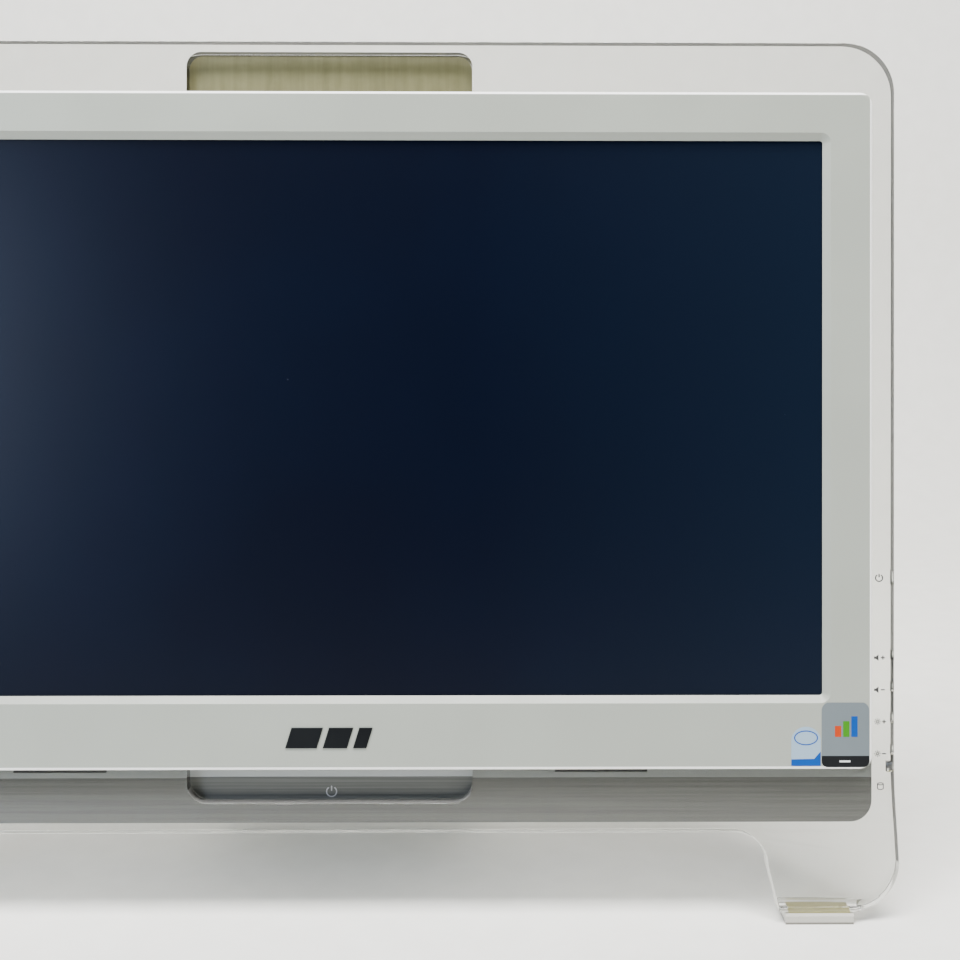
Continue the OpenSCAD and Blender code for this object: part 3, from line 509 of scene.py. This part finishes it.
# Every CAD node's finish, from the front of the machine to its back.
CAD_FINISH = {
    "clear_frame": acrylic, "foot_bars": clear_rubber, "foot_adhesive": adhesive_yellow,
    "carry_grip": grip_yellowed, "status_light": light_dark, "power_button": button_clear,
    "volume_buttons_up": button_clear, "volume_buttons_down": button_clear,
    "brightness_button_up": button_clear, "brightness_button_down": button_clear,
    "front_bezel": bezel_white, "brushed_strip": strip_metal, "speaker_channel": channel_grey,
    "speaker_grilles": grille_dark, "middle_frame": frame_plastic,
    "lcd_cell": screen_off, "lcd_rim": panel_steel, "lcd_back_plate": panel_steel,
    "light_guide": light_guide, "backlight_lamps": lamp_glass,
    "chassis_plate": panel_steel, "board_standoffs": brass, "screws": screw_steel,
    "mainboard": board_green, "board_components": chip_black, "memory_socket": chip_black,
    "memory_module": board_green, "wireless_card": board_green, "inverter_board": board_green,
    "coin_cell": cell_steel, "internal_leads": lead_grey,
    "heat_spreader": aluminium, "heat_pipe": copper, "cooling_fins": aluminium,
    "blower_case": black_plastic, "blower_rotor": black_plastic,
    "hard_drive": aluminium, "drive_cage": panel_steel, "speaker_boxes": black_plastic,
    "optical_drive_shell": panel_steel, "disc_tray": black_plastic, "disc_hub": screw_steel,
    "laser_pickup": black_plastic, "tray_bezel": cover_white, "eject_button": cover_white,
    "port_plate": panel_steel, "usb_ports": panel_steel, "lan_port": panel_steel,
    "audio_jacks": black_plastic, "dc_inlet": black_plastic,
    "rear_cover": cover_white, "cover_band": cover_white, "service_door": cover_white,
    "stand_bay": cover_white, "carry_tab": cover_white, "vesa_inserts": brass,
    "stand": stand_white, "stand_pad": rubber_black, "hinge_pin": screw_steel,
    "hinge_brackets": screw_steel,
}
for node_name, node_object in frame["nodes"].items():
    node_object.data.materials.clear()
    node_object.data.materials.append(CAD_FINISH[node_name])


# ---------------------------------------------------------------- clear frame

def outer_outline():
    """Right half of the outer edge from the middle of the leg gap to the top, then its mirror."""
    outer_x = HALF_W + LEG_FLARE
    right = [(0, LEG_GAP_Z)]
    right += arc(LEG_IN_X - LEG_GAP_R, LEG_GAP_Z - LEG_GAP_R, LEG_GAP_R, 90, 0, 12)
    # Inner flank, a little concave. The foot's round reaches below the sole, where it is cut off.
    right += [(186.4, 9.2), (187.0, 6.6), (188.2, 3.2)]
    right += arc(outer_x - LEG_R, SOLE_Z + LEG_R - 1, LEG_R, -90, 0, 16)
    # Outer flank: the flare runs out into the straight side.
    right += [(HALF_W + 1.5, 36), (HALF_W + 0.8, 46), (HALF_W + 0.3, 55), (HALF_W, 64)]
    right += arc(HALF_W - CORNER_R, TOP - CORNER_R, CORNER_R, 0, 90, 16)
    left = [(-x, z) for x, z in reversed(right[1:])]
    return right + left


def window_outline():
    """Window with its two notches, anticlockwise."""
    low_x, low_z = NOTCH_X - NOTCH_LOW_R, NOTCH_BOTTOM + NOTCH_LOW_R
    high_x, high_z = NOTCH_X - NOTCH_HIGH_R, NOTCH_TOP - NOTCH_HIGH_R
    lower = ([(-WINDOW_X, WINDOW_Z0), (-NOTCH_X, WINDOW_Z0)]
             + arc(-low_x, low_z, NOTCH_LOW_R, 180, 270) + arc(low_x, low_z, NOTCH_LOW_R, 270, 360)
             + [(NOTCH_X, WINDOW_Z0), (WINDOW_X, WINDOW_Z0)])
    upper = ([(WINDOW_X, WINDOW_Z1), (NOTCH_X, WINDOW_Z1)]
             + arc(high_x, high_z, NOTCH_HIGH_R, 0, 90) + arc(-high_x, high_z, NOTCH_HIGH_R, 90, 180)
             + [(-NOTCH_X, WINDOW_Z1), (-WINDOW_X, WINDOW_Z1)])
    return lower + upper


def flat_faces(piece):
    """Large faces are truly flat, so that they bend light evenly; only the rims are smooth."""
    largest_rim_face = 30e-6        # square metres
    for polygon in piece.data.polygons:
        polygon.use_smooth = polygon.area < largest_rim_face


def paint_edge_reflections(piece):
    """Painted dark reflection on the walls that face up and out, painted highlight on those that the
    desk lights.
    """
    piece.data.materials.append(acrylic_painted_dark)
    piece.data.materials.append(acrylic_painted_pale)
    painted_dark_slot = len(piece.data.materials) - 2
    above_feet, leg_x, side_x = 24, 192, 230
    to_display = DISPLAY.inverted()
    for polygon in piece.data.polygons:
        middle = to_display @ polygon.center / MM
        normal = to_display.to_3x3() @ polygon.normal
        if abs(normal.y) >= 0.3:
            continue
        outward = abs(middle.x) > side_x and normal.z > -0.35
        if middle.z > above_feet and (outward or normal.z > 0.3):
            polygon.material_index = painted_dark_slot
        elif middle.z < LEG_GAP_Z + 1 and abs(middle.x) < leg_x:
            polygon.material_index = painted_dark_slot + 1


def make_sole(side):
    """Flange under a leg; side is -1 for the left one and 1 for the right one."""
    outline = rounded(side * SOLE_X - SOLE_HALF_W, side * SOLE_X + SOLE_HALF_W,
                      SOLE_Z + SOLE_LIFT, SOLE_Z + SOLE_T, SOLE_CORNER_R, 4)
    mesh = plate_mesh([outline], FOOT_FRONT + SOLE_INSET, FOOT_BACK - SOLE_INSET, SOLE_EDGE_R, 3,
                      UPRIGHT)
    return add_object("sole", mesh)


def make_pocket(depth, z0, z1):
    """Cutter for a pocket in the right edge."""
    return box_object((HALF_W - depth, POCKET_FRONT, z0), (HALF_W + 3, POCKET_BACK, z1), DISPLAY)


def make_clear_frame():
    """Polished plate on its two soles, with pockets for the buttons and the indicator."""
    plate = plate_mesh([outer_outline(), window_outline()], -PLATE_T, 0, EDGE_R, 4)
    piece = finish_object("clear_frame_polished", plate, acrylic)
    soles = [make_sole(side) for side in (-1, 1)]
    below = box_object((-300, -60, -60), (300, 60, SOLE_Z), UPRIGHT)
    boolean(piece, [below], "DIFFERENCE")
    boolean(piece, soles, "UNION")
    pockets = [make_pocket(POCKET_DEEP, z - half - POCKET_GAP, z + half + POCKET_GAP)
               for _, z, half in BUTTONS]
    pockets.append(make_pocket(LIGHT_DEEP, LIGHT_Z0, LIGHT_Z1))
    boolean(piece, pockets, "DIFFERENCE")
    paint_edge_reflections(piece)
    flat_faces(piece)
    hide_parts("clear_frame")


def make_button(name, z, half):
    """Frosted push button standing a little proud of the right edge."""
    outline = rounded(HALF_W - CAP_IN, HALF_W + CAP_OUT, z - half, z + half, CAP_CORNER_R, 5)
    mesh = plate_mesh([outline], CAP_FRONT, CAP_BACK, CAP_EDGE_R, 3)
    button = finish_object(name + "_cap", mesh, button_clear, frame["nodes"][name]["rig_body"])
    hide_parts(name)


make_clear_frame()
for button_name, button_z, button_half in BUTTONS:
    make_button(button_name, button_z, button_half)


# ---------------------------------------------------------------- printed symbols

def ribbon(bm, points, width, y, closed=False):
    """Flat stroke of even width along XZ points, INK_T thick with its front at y, in display mm."""
    count = len(points)
    back = y + INK_T
    rails = []
    for i, (x, z) in enumerate(points):
        before = points[(i - 1) % count] if (closed or i) else points[i]
        after = points[(i + 1) % count] if (closed or i < count - 1) else points[i]
        dx, dz = after[0] - before[0], after[1] - before[1]
        length = math.hypot(dx, dz) or 1
        nx, nz = -dz / length * width / 2, dx / length * width / 2
        section = ((x + nx, y, z + nz), (x - nx, y, z - nz),
                   (x - nx, back, z - nz), (x + nx, back, z + nz))
        rails.append([bm.verts.new((px * MM, py * MM, pz * MM)) for px, py, pz in section])
    last = count if closed else count - 1
    for i in range(last):
        a, b = rails[i], rails[(i + 1) % count]
        for k in range(4):
            bm.faces.new((a[k], a[(k + 1) % 4], b[(k + 1) % 4], b[k]))
    if not closed:
        bm.faces.new(rails[0])
        bm.faces.new(rails[-1][::-1])


def patch(bm, points, y0, y1):
    """Filled flat shape from XZ points, between y0 and y1, in display mm."""
    front = [bm.verts.new((x * MM, y0 * MM, z * MM)) for x, z in points]
    back = [bm.verts.new((x * MM, y1 * MM, z * MM)) for x, z in points]
    bm.faces.new(front)
    bm.faces.new(back[::-1])
    for i in range(len(points)):
        j = (i + 1) % len(points)
        bm.faces.new((front[i], back[i], back[j], front[j]))


def power_symbol(bm, x, z, r, y):
    """Open ring with an upright stroke in its gap."""
    ribbon(bm, arc(x, z, r, 125, 415, 24), STROKE, y)
    ribbon(bm, [(x, z + 0.15 * r), (x, z + 1.15 * r)], STROKE, y)


def sign(bm, x, z, plus):
    """Plus or minus sign; the upright of a plus is two strokes, above and below the level one."""
    ribbon(bm, [(x - 0.85, z), (x + 0.85, z)], STROKE, INK_Y)
    if plus:
        ribbon(bm, [(x, z - 0.85), (x, z - 0.25)], STROKE, INK_Y)
        ribbon(bm, [(x, z + 0.25), (x, z + 0.85)], STROKE, INK_Y)


def speaker_symbol(bm, x, z):
    """Magnet box with a cone opening to the right."""
    patch(bm, [(x - 1.4, z - 0.5), (x - 0.6, z - 0.5), (x - 0.6, z + 0.5), (x - 1.4, z + 0.5)],
          INK_Y, INK_Y + INK_T)
    patch(bm, [(x - 0.58, z - 0.55), (x + 0.5, z - 1.4), (x + 0.5, z + 1.4), (x - 0.58, z + 0.55)],
          INK_Y, INK_Y + INK_T)


def sun_symbol(bm, x, z):
    """Small ring with eight rays."""
    ribbon(bm, arc(x, z, 0.5, 0, 340, 12), 0.4, INK_Y, closed=True)
    for inner, outer in zip(oval(x, z, 0.9, 0.9, count=8), oval(x, z, 1.4, 1.4, count=8)):
        ribbon(bm, [inner, outer], FINE_STROKE, INK_Y)


def disk_symbol(bm, x, z):
    """Drum seen a little from above: a flat oval and the bowl under it."""
    ribbon(bm, oval(x, z + 0.9, 1.2, 0.42, count=24), FINE_STROKE, INK_Y, closed=True)
    bowl = oval(x, z - 1.0, 1.2, 0.42, 180, 360, 12) + [(x + 1.2, z - 1.0)]
    ribbon(bm, [(x - 1.2, z + 0.9)] + bowl + [(x + 1.2, z + 0.9)], FINE_STROKE, INK_Y)


def side_symbols(bm):
    """One symbol beside each button, and a disk beside the indicator."""
    power_symbol(bm, 229.1, 143.1, 1.45, INK_Y)
    for z, plus in ((109.8, True), (96.4, False)):
        speaker_symbol(bm, 228.4, z)
        sign(bm, 230.7, z, plus)
    for z, plus in ((83.1, True), (69.7, False)):
        sun_symbol(bm, 228.5, z)
        sign(bm, 231.2, z, plus)
    disk_symbol(bm, 229.7, 56.2)


def strip_symbol(bm):
    """Power symbol on the strip, just behind the plate's back and seen through the notch."""
    power_symbol(bm, 0, 52.6, 2.1, 0.05)


finish_object("side_symbols", mesh_from(side_symbols, DISPLAY), ink_grey)
finish_object("power_symbol", mesh_from(strip_symbol, DISPLAY), ink_pale)


# ---------------------------------------------------------------- badge and stickers

def badge(bm):
    """Generic mark: three slanted bars."""
    low, high, slant = 73.2, 81.6, 2.6
    for x0, x1 in ((-18, -5), (-2.5, 7.5), (10, 15.5)):
        patch(bm, [(x0, low), (x1, low), (x1 + slant, high), (x0 + slant, high)],
              BEZEL_Y - 0.45, BEZEL_Y + 0.1)


def decal(name, outline, level, material):
    """Thin printed film on the bezel; a higher level lies on top of a lower one."""
    def build(bm):
        patch(bm, outline, BEZEL_Y - 0.1 - 0.02 * level, BEZEL_Y + 0.05)

    finish_object(name, mesh_from(build, DISPLAY), material)


def make_decals():
    """Two generic stickers in the bezel's lower right corner."""
    grey = film("decal_grey", (0.135, 0.160, 0.172), 0.4, 800, 0.05)
    black = film("decal_black", (0.006, 0.007, 0.008), 0.45, 800, 0.1)
    silver = film("decal_silver", (0.27, 0.37, 0.47), 0.3)
    blue = film("decal_blue", (0.002, 0.055, 0.27), 0.3, mottle=0.12)
    pale = film("decal_pale", (0.70, 0.72, 0.72), 0.3, mottle=0.05)
    warm = film("decal_orange", (0.42, 0.04, 0.006), 0.3, mottle=0.08)
    green = film("decal_green", (0.04, 0.20, 0.008), 0.3, mottle=0.08)

    # The large one: a grey field with three bars over a black foot with a pale dash.
    left, right, shoulder, top_r, hip, foot_r = 204.1, 223.9, 88.4, 3.5, 67.4, 2.5
    top = (arc(right - top_r, shoulder, top_r, 0, 70, 6)
           + arc(left + top_r, shoulder, top_r, 110, 180, 6))
    decal("decal_large", [(left, hip + 1), (right, hip + 1)] + top, 0, grey)
    foot = (arc(left + foot_r, hip, foot_r, 180, 270, 6)
            + arc(right - foot_r, hip, foot_r, 270, 360, 6))
    decal("decal_large_foot", [(left, hip + 2.2), (left, hip)] + foot + [(right, hip + 2.2)], 1, black)
    decal("decal_large_dash", [(211.5, 67), (216, 67), (216, 67.7), (211.5, 67.7)], 2, pale)
    bar_x, bar_z, bar_w, bar_pitch = 209.6, 77.5, 2.6, 3.4
    for k, (tone, height) in enumerate(((warm, 4.5), (green, 6.5), (blue, 8.5))):
        x = bar_x + bar_pitch * k
        decal("decal_bar_%d" % k, [(x, bar_z), (x + bar_w, bar_z), (x + bar_w, bar_z + height),
                                   (x, bar_z + height)], 1, tone)

    # The small one: a silver field with a round top, a blue wave at its foot and an oval ring.
    left, right, low, shoulder, middle, ring_z = 191.5, 203.7, 65.5, 76.0, 197.6, 77.1
    decal("decal_small", [(left, low), (right, low)] + oval(middle, shoulder, 6.1, 5.7, 0, 180, 20)
          + [(left, shoulder)], 0, silver)
    decal("decal_small_foot", [(left, low), (right, low), (right, 71.5), (201.0, 68.4),
                               (left, 68.2)], 1, blue)
    decal("decal_small_ring", oval(middle, ring_z, 5.0, 3.1), 1, blue)
    decal("decal_small_oval", oval(middle, ring_z, 4.5, 2.6), 2, silver)


finish_object("badge", mesh_from(badge, DISPLAY), badge_black)
make_decals()


# ---------------------------------------------------------------- stage, light and camera

def make_stage():
    """Pale floor that curves up into a wall behind the machine."""
    reach, bend_y, bend_r = 2.5, 0.62, 0.3        # metres
    profile = [(-reach, 0.0)] + arc(bend_y, bend_r, bend_r, -90, 0, 15) + [(bend_y + bend_r, reach)]

    def build(bm):
        rows = [[bm.verts.new((x, y, z)) for x in (-reach, reach)] for y, z in profile]
        for a, b in zip(rows, rows[1:]):
            bm.faces.new((a[0], a[1], b[1], b[0]))

    material, tree, shader = new_material("stage_pale")
    mottle = noise(tree, coordinates(tree), 60, 6)
    tree.links.new(two_tone(tree, mottle, (0.82, 0.812, 0.775), (0.85, 0.842, 0.805)),
                   shader.inputs["Base Color"])
    shader.inputs["Roughness"].default_value = 0.9
    floor = finish_object("stage_floor", mesh_from(build), material, body=None)


def area_light(name, place, target, size, power, color):
    """Rectangular lamp at a place, turned to a target; metres and watts."""
    data = bpy.data.lights.new(name, "AREA")
    data.shape = "RECTANGLE"
    data.size, data.size_y = size
    data.energy = power
    data.color = color
    lamp = add_object(name, data)
    lamp.location = place
    lamp.rotation_euler = (Vector(target) - Vector(place)).to_track_quat("-Z", "Y").to_euler()


def make_light():
    """Large lamp overhead, a weak one from the left and a cool window in front on the left."""
    world = bpy.data.worlds.new("studio")
    bpy.context.scene.world = world
    world.use_nodes = True
    background = world.node_tree.nodes["Background"]
    background.inputs["Color"].default_value = (1, 1, 0.98, 1)
    background.inputs["Strength"].default_value = 0.06
    area_light("overhead", (0.1, -0.5, 1.75), (0.05, 0.1, 0.1), (1.6, 0.7), 98, (1, 0.99, 0.97))
    area_light("side", (-1.0, -0.5, 1.0), (0, 0, 0.2), (0.6, 0.8), 10, (0.97, 0.98, 1.0))
    area_light("window", (-0.64, -1.0, 0.50), (-0.1, 0, 0.2), (0.22, 0.5), 5.5, (0.56, 0.70, 1.0))


def make_camera():
    """Close, nearly square to the leaned face, a little right of its middle."""
    data = bpy.data.cameras.new("camera")
    data.sensor_width = 36
    data.lens = 53.33
    data.clip_start = 0.01
    camera = add_object("camera", data)
    place, target = at(57, -600, 185.04), at(62.47, -12, 183.98)
    forward = (target - place).normalized()
    right = forward.cross(DISPLAY.to_3x3() @ Vector((0, 0, 1))).normalized()
    camera.matrix_world = Matrix.Translation(place) @ Matrix(
        (right, right.cross(forward), -forward)).transposed().to_4x4()
    bpy.context.scene.camera = camera


make_stage()
make_light()
make_camera()
